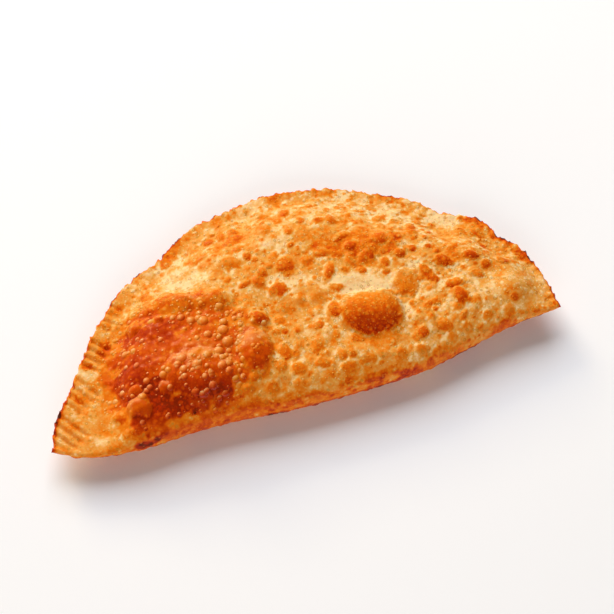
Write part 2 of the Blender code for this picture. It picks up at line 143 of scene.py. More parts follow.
# Blisters of the top: centre x, centre y, length, width, height, turn in degrees, browning.
BLISTERS = (
    # the browned mound: its hump, its tall smooth dome and its bubbles
    (-44, -31, 33, 21, 2.9, -14, 0.68), (-19.5, -28, 15, 20, 4.2, -12, 0.62),
    (-13.5, -13.5, 8, 7.6, 2.0, 0, 0.66), (-50.6, -24.6, 8.6, 9, 1.9, 0, 0.68),
    (-64, 0, 7, 7, 1.6, 0, 0.56), (-53.5, -1, 5, 3.5, 0.9, -20, 0.62),
    (-59, -33, 6.6, 6, 1.9, -18, 0.68), (-71, -30.4, 6, 5.8, 1.6, 0, 0.62),
    (-78.5, -46.6, 6.6, 6, 0.8, 0, 0.50),
    (-70.8, -37, 10.6, 9.6, 2.8, -20, 0.60), (-28, -42.6, 4.4, 4, 1.0, 0, 0.40),
    (-23.6, -38.6, 5, 4.6, 1.0, 0, 0.46), (-80, -37, 6, 5, 1.0, 0, 0.50),
    # the big blister in the middle with its neighbours
    (31.4, -23.6, 28.4, 21.5, 5.4, -18, 0.55), (17.2, -18.4, 7, 9, 1.6, 0, 0.62),
    (49.2, -15, 12, 14, 2.0, 0, 0.42), (12.6, -9, 8, 10, 1.0, 0, 0.34),
    (21, -8.4, 6.6, 5, 0.8, -18, 0.46), (21, -0.4, 5, 11, 1.2, -35, 0.58),
    (34.2, -4, 4.6, 4, 0.8, -18, 0.52), (44.5, -3, 5.2, 5.2, 1.0, 0, 0.53),
    (43.5, -7.6, 4.4, 4, 0.7, 0, 0.49), (52, -1, 6.4, 5, 1.2, -18, 0.59),
    (59.4, -12.6, 6, 9, 1.3, 10, 0.56), (61.5, -16.6, 5, 5, 1.1, 0, 0.60),
    (49, -39.2, 7, 5.6, 1.2, -18, 0.62), (46, -46, 6.4, 6, 1.2, 0, 0.56),
    (37, -46, 8, 7.6, 1.3, 0, 0.55), (23.8, -43.4, 8.6, 5, 0.9, -10, 0.44),
    (13.8, -39.4, 5.4, 5.4, 0.9, 0, 0.49), (17.6, -40, 4.4, 4.6, 0.8, 0, 0.52),
    (14.8, -46, 8, 7.6, 1.2, 0, 0.59), (5.6, -31.8, 8.4, 8, 1.0, 0, 0.42),
    (5.6, -40.6, 6.6, 4.4, 0.7, -18, 0.46), (-8.2, -30.8, 7.4, 8, 1.2, 0, 0.49),
    (-5, -40, 7.6, 7, 1.0, 0, 0.49), (-6.4, -46.4, 8, 6, 1.1, 0, 0.56),
    (-17.6, -45, 7.4, 6.6, 1.2, 0, 0.58), (-27.6, -43, 6.4, 5.4, 0.9, 0, 0.49),
    (-5.4, -22, 3.8, 3.4, 0.6, 0, 0.58), (9.4, -23.6, 4, 4, 0.7, 0, 0.58),
    (14.4, -30, 3.8, 5, 0.6, 0, 0.44), (-6, -16, 6.4, 5.4, 0.8, -10, 0.50),
    (49, -25, 3, 3, 0.5, 0, 0.56), (56, -27.6, 3, 3, 0.5, 0, 0.58), (57.2, -30.6, 3, 3, 0.5, 0, 0.56),
    # towards the right tip
    (69.4, -28, 8.4, 9.4, 1.9, 0, 0.66), (67, -21.4, 4.6, 6, 1.2, 0, 0.63),
    (70, -21.6, 6, 5, 1.2, 0, 0.50), (75, -31.6, 5.6, 4.8, 0.8, 0, 0.46),
    (58, -38.6, 9.6, 6, 0.9, -18, 0.53), (68, -41.8, 6.4, 6, 1.0, 0, 0.60),
    (60.4, -44, 6, 5, 0.9, 0, 0.59), (77.6, -39, 5.4, 5, 0.9, 0, 0.58),
    (76.6, -43.6, 7, 5, 0.9, 0, 0.62), (56, -46.2, 4, 4, 0.6, 0, 0.58),
    (68.6, -9.4, 9, 6, 1.3, -30, 0.65), (80, -11, 7.4, 4, 1.0, -24, 0.65),
    (84.8, -16, 5.6, 4.8, 0.9, 0, 0.55), (93, -16, 6.6, 4.8, 0.9, -24, 0.53),
    (80.4, -20, 5.4, 4.6, 0.8, 0, 0.46), (91, -34.6, 4.4, 4.4, 0.5, 0, 0.56),
    (87.2, -39, 6.4, 5, 0.8, 0, 0.55), (90, 3, 11, 7, 0.9, -40, 0.59),
    # the upper face, towards the arc
    (4.2, 8.6, 10.6, 9.6, 1.3, 0, 0.58), (-2.4, -1.8, 10, 7.6, 1.2, -18, 0.59),
    (33, 9, 6, 5, 1.0, 0, 0.66), (31, 15, 8, 4, 0.8, 20, 0.53), (40, 2.6, 4, 7, 0.9, 0, 0.60),
    (46, 8.6, 8.6, 7, 1.1, 0, 0.56), (20, 9.4, 9, 4.6, 0.8, -10, 0.53),
    (29.4, 25, 5.6, 6.4, 1.1, 0, 0.42), (62, 13, 5.4, 6, 1.0, 0, 0.50),
    (70, 21, 5.6, 4.4, 0.9, -30, 0.55), (57.6, 0, 4.6, 3.8, 0.8, 0, 0.68),
    (64.2, -1.4, 3.4, 3, 0.6, 0, 0.65), (64.6, 4, 3, 3, 0.5, 0, 0.56), (61, 5.6, 3, 3, 0.5, 0, 0.53),
    (-30, 26.6, 13, 8, 0.7, 10, 0.36), (-22.6, 34, 6.4, 4.6, 0.8, 0, 0.52),
    (-17.4, 17.4, 11, 7, 0.8, -10, 0.42), (-9.8, 18, 4, 5.6, 0.9, 0, 0.63),
    (-12, 23.6, 7.6, 4.6, 0.6, 0, 0.42), (-7.2, 15, 4, 3, 0.5, 0, 0.50), (9, 17, 4, 3.2, 0.6, 0, 0.52),
    (10.6, 24, 5, 4.8, 0.8, 0, 0.47), (12, 36, 5.6, 6.6, 0.9, 0, 0.49), (17.2, 28, 4, 3.6, 0.7, 0, 0.50),
    (-6.2, 7.8, 5.6, 5.4, 0.8, 0, 0.50), (-14.4, 4.6, 8, 3.4, 0.6, 10, 0.53),
    (80.4, 5, 4.6, 5, 0.7, 0, 0.36), (74.2, 9, 4, 4, 0.5, 0, 0.30), (75, -4, 6.6, 4.6, 0.7, 0, 0.42),
)

# Round bubbles that stand on the mound like drops: x, y, diameter.
DROPS = (
    (-49.5, -23.6, 4.6), (-36.7, -8.4, 4.7), (-41.1, -6.8, 3.7), (-44.4, -4.2, 3.2),
    (-47.8, -2.8, 2.7), (-30.2, -15.5, 4.3), (-28.6, -11.3, 3.3), (-29.3, -21.4, 4.4),
    (-25, -22.3, 3.3), (-36.2, -15.7, 3.5), (-41, -16, 2.6), (-32.4, -18.6, 2.3),
    (-22.2, -14.5, 2.8), (-44.7, -29.1, 4.2), (-39, -26, 3.6), (-33.8, -24.4, 4.2),
    (-35, -32.3, 3.6), (-31.6, -31.5, 3.0), (-32.6, -34.2, 2.8), (-28.5, -35.3, 2.6),
    (-40.1, -33.8, 2.8), (-43, -34.5, 2.6), (-40.9, -38.4, 3.6), (-36.7, -41.5, 3.5),
    (-48.4, -39, 3.6), (-46, -40.2, 2.9), (-43.7, -39.6, 2.6), (-50.9, -32.5, 3.0),
    (-46.9, -30.8, 2.4), (-58.7, -28.1, 2.9), (-56.4, -27.1, 2.4), (-57.9, -25.1, 2.3),
    (-31.2, -38.3, 2.3), (-70.1, -11, 3.1), (-66.5, -11.9, 2.7), (-73.3, -13.2, 2.0),
    (-42.5, -46.6, 2.2), (-75, -5.5, 2.2), (-12.5, -16.5, 2.4), (-57, -1, 2.4),
)

# Where smaller bubbles crowd together: centre x, centre y, length, width, turn, share.
FOAM = (
    (-28, -18, 13, 30, -14, 0.30), (-38, -33, 32, 16, -16, 0.20), (-42, -41, 30, 9, -14, 0.15),
    (-37, -3, 30, 9, -20, 0.30), (-45, 5, 38, 8, -12, 0.25), (-68, -10, 12, 28, 30, 0.08),
    (-62, -34, 28, 14, -16, 0.06), (-50, -14, 40, 14, -20, 0.02), (-18, -34, 10, 14, 0, 0.10),
)
TOP_ROUND = (36,)

# Outlines of the browned mound, of its places of rosy tan, partly dry skin and partly painted
# sheen, and of the fields that stayed smooth and clear: centre x, y, length, width, turn.
MOUND = ((-44, -21, 64, 52, -16), (-64, -22, 42, 60, -8))
SKIN_AND_SHEEN_PLACES = (
    (-43, 5, 36, 9, -12), (-28, -1, 14, 12, 0), (-19, -22, 13, 12, -12), (-13.5, -13, 9, 8, 0),
    (-40, -25, 28, 13, -16), (-70.8, -36, 10, 9, -20), (-59, -32, 6.6, 6, -18),
)
CLEAR_FIELDS = (
    (93, -28, 28, 22, -30), (-39, 17, 22, 14, -8), (31, -9.5, 32, 10, -18), (78, 16, 18, 9, -40),
)

# Each bubble of the foam is a ball, cut into so many sides and rings, whose rings lie so many
# degrees from its crown. It is a little flattened, and half of it is sunk in the crust.
BALL_SIDES = 10
BALL_RINGS = (22.0, 43.0, 64.0, 85.0)
BALL_FLATNESS = 0.82
BALL_SINK = 0.48
# Direction towards the light: each bubble is painted paler on this side, with a painted rosy highlight,
# and darker at its foot as painted shade.
PAINTED_LIGHT_WAY = (-0.35, 0.64, 0.68)

# Blisters of the underside, laid out in the same way.
UNDER_BLISTERS = (
    (-60, -18, 15, 12, 2.0, 0, 0.6), (62, -20, 17, 12, 2.0, 30, 0.62), (0, 24, 14, 11, 1.8, 0, 0.58),
)

# Plan direction towards the light, on whose side slopes stay palest, and how much browner the
# opposite slopes are painted, as painted shade, on the field and on the mound.
LIGHT_PLAN_WAY = (-0.2, 0.98)
PAINTED_SHADE_TOAST = 0.18
MOUND_PAINTED_SHADE_TOAST = 0.14
DEEPEST_MOUND = 0.88

# How much darker a blister is painted on its side towards the fold, away from the light: painted shade.
BLISTER_PAINTED_SHADE = 0.30

# Patches of the top that browned more or less than the rest, one of them painted shade under
# the big blister: centre x, centre y, length, width, turn in degrees, browning.
PATCHES = (
    # the mound and its foot
    (-45, -20, 68, 52, -16, 0.72), (-63, -22, 38, 54, -8, 0.68), (-80, -20, 10, 44, -8, 0.64),
    (-56, -7, 26, 13, -20, 0.82), (-44, 5, 38, 6, -12, 0.55), (-29, -1, 14, 12, 0, 0.52),
    (-36, -9, 16, 11, -18, 0.62),
    (-41, -16.5, 17, 7, -18, 0.60), (-70, -24, 20, 20, 0, 0.82), (-63, -35, 24, 16, 0, 0.94),
    (-53, -42, 48, 10, -4, 0.92), (-25, -35, 9, 7, 0, 0.64), (-42, -43, 16, 6, 0, 0.74),
    (-70, -45.5, 20, 8, 0, 0.82), (-48, -48, 22, 4, 0, 0.46),
    # the flat band and the corner
    (-88, -22, 10, 22, 50, 0.24), (-90, -37, 16, 15, 0, 0.28), (-98, -31, 16, 16, -30, 0.26),
    (-86, -7, 9, 16, 40, 0.27), (-80, 7, 7, 14, 40, 0.27), (-87, -9, 5, 4, 40, 0.56),
    (-93, -22, 12, 4, -30, 0.44), (-73.4, -50.8, 7, 2.0, -10, 0.90), (-69, 15, 8, 9, 50, 0.40),
    # the paler fields
    (-39, 17, 22, 15, -8, -0.06), (31.5, -9.5, 32, 12, -18, -0.16), (54, -6.5, 9, 6, -18, 0.02),
    (20.5, 26, 8, 10, 0, 0.04), (44, 32, 14, 9, -20, 0.10), (51, 20, 12, 8, -18, 0.08),
    (6, 30, 14, 7, 0, 0.08), (-7, 38, 18, 9, 20, 0.12), (-4, -35, 8, 10, 0, 0.02),
    (74, -15.5, 14, 7, -18, 0.04), (91, -28, 26, 16, -24, 0.17), (69, -36.5, 8, 6, -18, 0.02),
    (60, -22, 30, 18, -18, 0.12), (80, -30, 30, 14, -20, 0.14), (90.5, -34, 8, 7, 0, 0.52),
    (81, 17, 20, 14, -40, -0.06), (46, 27, 18, 12, -20, 0.04), (100, -15, 9, 8, 0, 0.10),
    (-18, 2, 14, 9, 0, 0.12),
    (12, -3, 16, 8, -18, 0.08), (40, -38, 10, 8, -18, 0.08),
    # the browner ones
    (31, 10, 26, 12, -10, 0.58), (46, 6, 18, 12, -10, 0.60), (36, -35, 24, 9, -16, 0.22),
    (18, -32, 52, 13, -12, 0.24),
    (54, -29, 14, 10, -18, 0.30), (40, -52, 20, 2.2, -4, 0.68), (24, -51, 12, 3, 0, 0.62),
    (58, 33, 16, 6, -24, 0.46), (32, 44, 12, 5, -10, 0.50), (12, 46, 14, 6, 6, 0.46),
    (-40, 35.6, 14, 8, 40, 0.54), (104, -13, 13, 6, -62, 0.84), (98, -1, 12, 6, -52, 0.78),
    (91, 9, 14, 7, -45, 0.74),
    (88.4, -5, 4, 4, 0, 0.84), (83, -43, 14, 6, 20, 0.40), (10, -49, 12, 4, 0, 0.50),
    (-30, -47.6, 18, 5, 4, 0.46), (0, -44, 30, 10, -6, 0.28), (64, -43, 26, 7, 14, 0.20),
    (10, 7, 16, 8, -10, 0.36), (62, -33, 12, 8, -18, 0.18), (30, -36.5, 24, 5, -18, 0.28),
    (97, -30, 14, 16, -60, 0.24),
    # The first patch here, under the big blister, is partly its browned foot and partly painted shade cast
    # by it.
    (33, -37, 24, 5, -14, 0.52), (72.6, -6, 14, 9, -30, 0.42), (-14, -50, 30, 4, 0, 0.44),
)


class CrustShape(bpy.types.PropertyGroup):
    """Sizes of the crust and of its relief."""

    rim_half: bpy.props.FloatProperty(
        name="Rim half thickness", description="Half the thickness of the crimped rim",
        default=0.0016, unit="LENGTH")
    crimp_pitch: bpy.props.FloatProperty(
        name="Crimp pitch", description="Distance between two fork marks along the rim",
        default=0.0036, unit="LENGTH")
    crimp_depth: bpy.props.FloatProperty(
        name="Crimp depth", description="Depth of a fork mark in the left corner",
        default=0.0014, unit="LENGTH")
    tooth_depth: bpy.props.FloatProperty(
        name="Tooth depth", description="Depth of the notch that a fork mark cuts into the edge",
        default=0.0009, unit="LENGTH")
    stations: bpy.props.IntProperty(
        name="Stations", description="Steps of the grid from tip to tip", default=400)
    under_rows: bpy.props.IntProperty(
        name="Underside rows", description="Steps of the grid over the underside", default=20)
    top_rows: bpy.props.IntProperty(
        name="Top rows", description="Steps of the grid over the top's belly", default=150)
    foam_share: bpy.props.FloatProperty(
        name="Foam share", description="Share of the grid's points drawn for small bubbles",
        default=0.40)
    foam_spacing: bpy.props.FloatProperty(
        name="Foam spacing", description="Side of the squares that hold one small bubble each",
        default=0.0018, unit="LENGTH")


class CrustColours(bpy.types.PropertyGroup):
    """Colours of fried dough from the palest to the burnt."""

    pale: bpy.props.FloatVectorProperty(
        name="Pale", description="Dough that hardly coloured", subtype="COLOR",
        default=(0.94, 0.64, 0.30))
    gold: bpy.props.FloatVectorProperty(
        name="Gold", description="Lightly fried dough", subtype="COLOR",
        default=(0.83, 0.375, 0.068))
    orange: bpy.props.FloatVectorProperty(
        name="Orange", description="Well fried dough", subtype="COLOR",
        default=(0.82, 0.21, 0.006))
    amber: bpy.props.FloatVectorProperty(
        name="Amber", description="Dark orange of blistered dough", subtype="COLOR",
        default=(0.68, 0.085, 0.001))
    brown: bpy.props.FloatVectorProperty(
        name="Brown", description="Deep red brown of the mound's foot", subtype="COLOR",
        default=(0.42, 0.024, 0.001))
    burnt: bpy.props.FloatVectorProperty(
        name="Burnt", description="Singed edge of the rim", subtype="COLOR",
        default=(0.085, 0.012, 0.003))
    # Rosy tan: partly the mound's dry skin, partly a painted sheen on slopes and bubble sides turned
    # towards the light.
    skin: bpy.props.FloatVectorProperty(
        name="Dry skin", description="Rosy tan of the mound's dry skin", subtype="COLOR",
        default=(0.85, 0.40, 0.15))
    pit: bpy.props.FloatVectorProperty(
        name="Pit", description="Olive brown of the tiny pits", subtype="COLOR",
        default=(0.54, 0.23, 0.022))


class StageLook(bpy.types.PropertyGroup):
    """Floor, lights and camera."""

    floor: bpy.props.FloatVectorProperty(
        name="Floor", description="Colour of the pale floor", subtype="COLOR",
        default=(0.96, 0.96, 0.955))
    key_power: bpy.props.FloatProperty(
        name="Key power", description="Power of the soft key light behind the crust, in watts",
        default=52.9)
    glint_power: bpy.props.FloatProperty(
        name="Glint power", description="Power of the low light that makes the glints, in watts",
        default=26.0)
    fill_power: bpy.props.FloatProperty(
        name="Fill power", description="Power of the soft fill light above the camera, in watts",
        default=31.0)
    sky: bpy.props.FloatProperty(
        name="Sky", description="Strength of the even light from all round", default=0.125)
    camera_turn: bpy.props.FloatProperty(
        name="Camera turn", description="Turn of the camera round the crust", subtype="ANGLE",
        default=math.radians(-17.72))
    camera_rise: bpy.props.FloatProperty(
        name="Camera rise", description="Angle of the view above the floor", subtype="ANGLE",
        default=math.radians(60.0))
    camera_distance: bpy.props.FloatProperty(
        name="Camera distance", description="Distance from the camera to its target",
        default=0.719, unit="LENGTH")
    camera_target: bpy.props.FloatVectorProperty(
        name="Camera target", description="Point that the camera looks at", subtype="TRANSLATION",
        default=(0.00844, -0.00802, 0.012))
    lens: bpy.props.FloatProperty(
        name="Lens", description="Focal length in millimetres on a 36 mm sensor", default=100.0)


def smooth_step(x):
    """S-curve from 0 to 1 as x goes from 0 to 1, level at both ends."""
    x = np.clip(x, 0.0, 1.0)
    return x * x * (3.0 - 2.0 * x)


def quarter_round(x):
    """Quarter circle: 0 with an upright tangent at x = 0, level at 1 from x = 1 on."""
    return np.sqrt(np.clip(1.0 - (1.0 - np.clip(x, 0.0, 1.0)) ** 2, 0.0, 1.0))


def curve_through(points, count):
    """Catmull-Rom curve through the points, sampled at equal steps of its own length."""
    knots = np.array(points, dtype=float)
    knots = np.vstack([2 * knots[0] - knots[1], knots, 2 * knots[-1] - knots[-2]])
    t = np.linspace(0.0, 1.0, 40, endpoint=False)[:, None]
    spans = []
    for a, b, c, d in zip(knots, knots[1:], knots[2:], knots[3:]):
        cubic = 2 * b + (c - a) * t + (2 * a - 5 * b + 4 * c - d) * t ** 2
        spans.append(0.5 * (cubic + (3 * b - a - 3 * c + d) * t ** 3))
    fine = np.vstack(spans + [knots[-2][None]])
    run = np.concatenate([[0.0], np.cumsum(np.linalg.norm(np.diff(fine, axis=0), axis=1))])
    at = np.linspace(0.0, run[-1], count)
    return np.column_stack([np.interp(at, run, fine[:, 0]), np.interp(at, run, fine[:, 1])])


def tangents(curve):
    """Unit direction of a plan curve at each of its points."""
    step = np.gradient(curve, axis=0)
    return step / np.linalg.norm(step, axis=1)[:, None]


def crossing_sine(a, b):
    """Sine of the angle between plan directions, no less than 0.3, eased along the stations.

    It is the size of their cross product, averaged over neighbours with raised-cosine weights.
    """
    sine = np.maximum(np.abs(a[:, 0] * b[:, 1] - a[:, 1] * b[:, 0]), 0.3)
    weights = np.hanning(2 * EASE_STATIONS + 3)[1:-1]
    padded = np.pad(sine, EASE_STATIONS, mode="edge")
    return np.convolve(padded, weights / weights.sum(), mode="valid")


def draw(i, j, seed):
    """Repeatable draw from 0 to 1 for each lattice cell, by mixing the bits of its indices."""
    mixed = (i * 73856093) ^ (j * 19349663) ^ (seed * 83492791)
    mixed = ((mixed ^ (mixed >> 13)) * 1274126177) & 0xFFFFFFFF
    mixed = ((mixed ^ (mixed >> 16)) * 668265263) & 0xFFFFFFFF
    return ((mixed ^ (mixed >> 15)) & 0xFFFFFF) / 0xFFFFFF


def ripple(u, v, length, seed, waves=14):
    """Even random swell of about the given wavelength: a sum of plane waves, of variance 1."""
    rng = np.random.default_rng(seed)
    total = np.zeros_like(u)
    for turn, stretch, phase in rng.random((waves, 3)):
        number = 2 * np.pi / (length * (0.7 + 0.7 * stretch))
        way = 2 * np.pi * turn
        total += np.cos(number * (u * np.cos(way) + v * np.sin(way)) + 2 * np.pi * phase)
    return total * math.sqrt(2.0 / waves)


def bubble_layer(u, v, cell, seed, share, size=(0.30, 0.52), power=0.8):
    """Round caps, one at a jittered place in a share of the cells of a square lattice.

    Each cap is an ellipse of random size, stretch and turn, (1 - r^2)^power high. Returns the
    highest cap at each point in units of its own radius, its radius and a random tone.
    """
    best = np.zeros_like(u)
    radius_there = np.zeros_like(u)
    tone = np.zeros_like(u)
    home_i = np.floor(u / cell).astype(np.int64)
    home_j = np.floor(v / cell).astype(np.int64)
    for step_i in (-1, 0, 1):
        for step_j in (-1, 0, 1):
            i, j = home_i + step_i, home_j + step_j
            centre_u = (i + 0.12 + 0.76 * draw(i, j, seed)) * cell
            centre_v = (j + 0.12 + 0.76 * draw(i, j, seed + 1)) * cell
            radius = cell * (size[0] + (size[1] - size[0]) * draw(i, j, seed + 2) ** 1.6)
            turn = np.pi * draw(i, j, seed + 3)
            stretch = 1.0 + 0.35 * draw(i, j, seed + 4)
            du, dv = u - centre_u, v - centre_v
            along = (du * np.cos(turn) + dv * np.sin(turn)) / (radius * stretch)
            across = (dv * np.cos(turn) - du * np.sin(turn)) * stretch / radius
            cap = np.clip(1.0 - along ** 2 - across ** 2, 0.0, 1.0) ** power
            cap = np.where(draw(i, j, seed + 5) < share, cap, 0.0)
            higher = cap * radius > best * radius_there
            best = np.where(higher, cap, best)
            radius_there = np.where(higher, radius, radius_there)
            tone = np.where(higher, draw(i, j, seed + 6), tone)
    return best, radius_there, tone


def ellipse(x, y, place):
    """Squared distance from the middle of a turned ellipse, 1 on its edge."""
    centre_x, centre_y, length, width, turn = place
    cos, sin = math.cos(math.radians(turn)), math.sin(math.radians(turn))
    along = ((x - centre_x) * cos + (y - centre_y) * sin) / (length / 2)
    across = ((y - centre_y) * cos - (x - centre_x) * sin) / (width / 2)
    return along ** 2 + across ** 2


def nearest_ellipse(face, places):
    """The smallest ellipse() value over the places: below 1 inside any of them."""
    return np.minimum.reduce([ellipse(face.x, face.y, place) for place in places])


def rib_steps(width, fold_round, rim_round, rows):
    """Distances from the fold along each rib, one rib a row of the result.

    They follow a cosine round the fold, even steps over the belly and a sine round the rim,
    so that the steps stay even on the curved face as well.
    """
    fold_rows, belly_rows, rim_rows = rows
    angle = np.linspace(0.0, np.pi / 2, fold_rows, endpoint=False)
    at_fold = fold_round[:, None] * (1.0 - np.cos(angle))
    even = np.linspace(0.0, 1.0, belly_rows, endpoint=False)
    at_belly = fold_round[:, None] + (width - fold_round - rim_round)[:, None] * even
    angle = np.linspace(0.0, np.pi / 2, rim_rows)
    at_rim = width[:, None] - rim_round[:, None] * (1.0 - np.sin(angle))
    return np.hstack([at_fold, at_belly, at_rim])


def band_width(x):
    """Width of the flat crimped band, broad in the left corner and narrow at the right tip."""
    left = smooth_step((-52.0 - x) / 46.0)
    right = smooth_step((x - 70.0) / 30.0)
    return BAND_ARC + (BAND_LEFT_TIP - BAND_ARC) * left + (BAND_RIGHT_TIP - BAND_ARC) * right


def seam_height(x, y):
    """Height of the seam: level, with lifted tips and a slight wave."""
    left = LEFT_TIP_LIFT * smooth_step((-x - 62.0) / 48.0)
    right = RIGHT_TIP_LIFT * smooth_step((x - 66.0) / 44.0)
    wave = 0.7 * np.sin(x / 17.0 + 0.6) * smooth_step((y + 20.0) / 50.0)
    return SEAM_HEIGHT + left + right + wave


def belly(x, y, depth, fall):
    """Depth of the belly away from its edges: a paraboloid, deepest at its middle."""
    away_x = (x - BELLY_MIDDLE[0]) / BELLY_RADII[0]
    away_y = (y - BELLY_MIDDLE[1]) / BELLY_RADII[1]
    return depth * (1.0 - fall * np.minimum(away_x ** 2 + away_y ** 2, 2.0))


def edge_fade(fold_gap, rim_gap, fold_run, rim_run):
    """Share of the belly's depth near its edges: round at the fold, an S-curve to the band."""
    return quarter_round(fold_gap / fold_run) ** 0.9 * smooth_step(rim_gap / rim_run) ** 0.8


def fork_marks(arc, along, x, y, pitch):
    """Grooves of the fork, pressed in beside one another along the arc, 0 to 1 deep.

    Each press is a patch of parallel grooves, a raised cosine across them, that starts at the
    rim and runs inward, turned from the rim's inward normal by the press's own slant.
    """
    marks = np.zeros_like(x)
    way = tangents(arc)
    presses = int((along[-1] - FORK_START) / FORK_STEP) + 1
    for k in range(presses):
        slant, length, depth = (
            row[min(k, len(row) - 1)] for row in (FORK_SLANTS, FORK_LENGTHS, FORK_DEPTHS))
        at = FORK_START + k * FORK_STEP
        start = [np.interp(at, along, arc[:, axis]) for axis in (0, 1)]
        heading = math.atan2(*[np.interp(at, along, way[:, axis]) for axis in (1, 0)])
        turn = heading - math.pi / 2 - math.radians(slant)
        dx, dy = x - start[0], y - start[1]
        reach = dx * math.cos(turn) + dy * math.sin(turn)
        across = dy * math.cos(turn) - dx * math.sin(turn)
        half = FORK_TINES * pitch / 2
        patch = smooth_step((half - np.abs(across)) / 1.2) * smooth_step((length - reach) / 3.5)
        groove = (0.5 - 0.5 * np.cos(2 * np.pi * across / pitch)) ** 1.2
        marks = np.maximum(marks, depth * groove * patch)
    return marks


def smooth_face(shape, rows, side):
    """One smooth face of the body over stations and rows, from the fold to the rim.

    Ribs join the fold curve and the arc at equal shares of their lengths. Height is the seam
    plus or minus the rounded rim and the belly. side is 1 for the top, -1 for the underside.
    """
    rim_half, pitch = shape.rim_half / MM, shape.crimp_pitch / MM
    tips = ((-LENGTH / 2, TIP_Y), (LENGTH / 2, TIP_Y))
    fold = curve_through((tips[0],) + FOLD_POINTS + (tips[1],), shape.stations + 1)
    arc = curve_through((tips[0],) + ARC_POINTS + (tips[1],), shape.stations + 1)
    along = np.concatenate([[0.0], np.cumsum(np.linalg.norm(np.diff(arc, axis=0), axis=1))])
    fold_way, arc_way = tangents(fold)[1:-1], tangents(arc)[1:-1]
    fold, arc = fold[1:-1], arc[1:-1]
    rib = arc - fold
    width = np.linalg.norm(rib, axis=1)
    rib = rib / width[:, None]
    fold_sine = crossing_sine(rib, fold_way)
    arc_sine = crossing_sine(rib, arc_way)
    fold_round = np.minimum(FOLD_RUN / fold_sine, 0.4 * width)
    rim_round = np.minimum(rim_half / arc_sine, 0.2 * width)
    step = rib_steps(width, fold_round, rim_round, rows)
    face = SimpleNamespace(side=side)
    face.x = fold[:, :1] + rib[:, :1] * step
    face.y = fold[:, 1:] + rib[:, 1:] * step
    face.along = np.broadcast_to(along[1:-1, None], step.shape)
    face.fold_gap = step * fold_sine[:, None]
    face.rim_gap = (width[:, None] - step) * arc_sine[:, None]
    edge = quarter_round(face.fold_gap / rim_half) * quarter_round(face.rim_gap / rim_half)
    inner_gap = face.rim_gap - band_width(face.x)
    if side > 0:
        swell = belly(face.x, face.y, BELLY_ABOVE_SEAM, TOP_FALL)
        swell = swell * edge_fade(face.fold_gap, inner_gap, FOLD_RUN, RIM_RUN)
    else:
        swell = belly(face.x, face.y, BELLY_BELOW_SEAM, UNDER_FALL)
        swell = swell * edge_fade(face.fold_gap, inner_gap, UNDER_FOLD_RUN, UNDER_RIM_RUN)
    face.edge_round = quarter_round(face.rim_gap / rim_half)
    face.marks = fork_marks(arc, along[1:-1], face.x, face.y, pitch)
    level = np.zeros_like(face.x)
    uneven = 0.5 + 0.35 * ripple(face.along, level, 4.2, 72)
    uneven = uneven + 0.25 * ripple(face.along, level, 2.1, 73)
    tooth = shape.tooth_depth / MM * uneven * (1.0 - smooth_step(face.rim_gap / 3.0))
    tooth = tooth * smooth_step(face.fold_gap / 4.0)
    z = seam_height(face.x, face.y) + side * (rim_half * edge + swell)
    face.points = np.stack([face.x - rib[:, :1] * tooth, face.y - rib[:, 1:] * tooth, z], axis=2)
    step_length = np.linalg.norm(np.diff(face.points, axis=1), axis=2)
    start = np.zeros((len(step_length), 1))
    face.run = side * np.concatenate([start, np.cumsum(step_length, axis=1)], axis=1)
    return face


def swellings(face):
    """Sum of the broad swellings, each a bell (1 - r^2)^1.6 over 1.3 times its own ellipse."""
    total = np.zeros_like(face.x)
    for centre_x, centre_y, length, width, height, turn in SWELLINGS:
        r2 = ellipse(face.x, face.y, (centre_x, centre_y, 1.3 * length, 1.3 * width, turn))
        total += height * np.clip(1.0 - r2, 0.0, 1.0) ** 1.6
    return total


def named_blisters(face, places):
    """Highest of the listed blisters, caps (1 - r^2)^0.75 with slightly wavy outlines.

    Returns their height, a share and a browning with painted shade to blend in with it, and the
    pale halo round them. Each is painted darker on the side of the fold, away from the light, by
    its distance from the middle, as painted shade.
    """
    height = np.zeros_like(face.x)
    share = np.zeros_like(face.x)
    tone = np.zeros_like(face.x)
    halo = np.zeros_like(face.x)
    wobble = 0.16 * ripple(face.x, face.run, 5.0, 41)
    ragged = 0.05 * ripple(face.x, face.run, 2.6, 46)
    for centre_x, centre_y, length, width, rise, turn, browning in places:
        r2 = ellipse(face.x, face.y, (centre_x, centre_y, length, width, turn))
        r2 = r2 * (1.0 + wobble * min(1.0, 9.0 / length))
        cap = np.clip(1.0 - r2, 0.0, 1.0)
        height = np.maximum(height, rise * cap ** 0.75)
        large = smooth_step((length - 8.0) / 16.0)
        # How far a point lies towards the fold and sideways: the side turned away from the light.
        sideways = (0.15 - 0.40 * large) * (face.x - centre_x) / length
        lean = np.clip((centre_y - face.y) / width + sideways, -0.5, 0.5)
        reach = 0.70 - 0.30 * large - (0.8 - 0.2 * large) * np.maximum(lean, 0.0)
        reach += 0.9 * large * np.maximum(-lean, 0.0)
        inner = smooth_step((cap + (1.0 - 0.4 * large) * ragged * (cap > 0)) / reach)
        # Painted shade: darker on the side away from the light.
        painted_shade_tone = BLISTER_PAINTED_SHADE * (0.5 + 0.9 * large) * lean
        tone += inner * (browning + painted_shade_tone - tone)
        share = np.maximum(share, inner)
        # Large blisters keep no pale halo on their shaded side, so that painted shade shows below them.
        halo_off_shaded_side = 1.0 - 2.0 * large * np.maximum(lean, 0.0)
        halo = np.maximum(halo, halo_off_shaded_side * smooth_step(1.0 - np.abs(r2 - 1.3) / 0.45))
    return height, share, tone, halo * (1.0 - share)


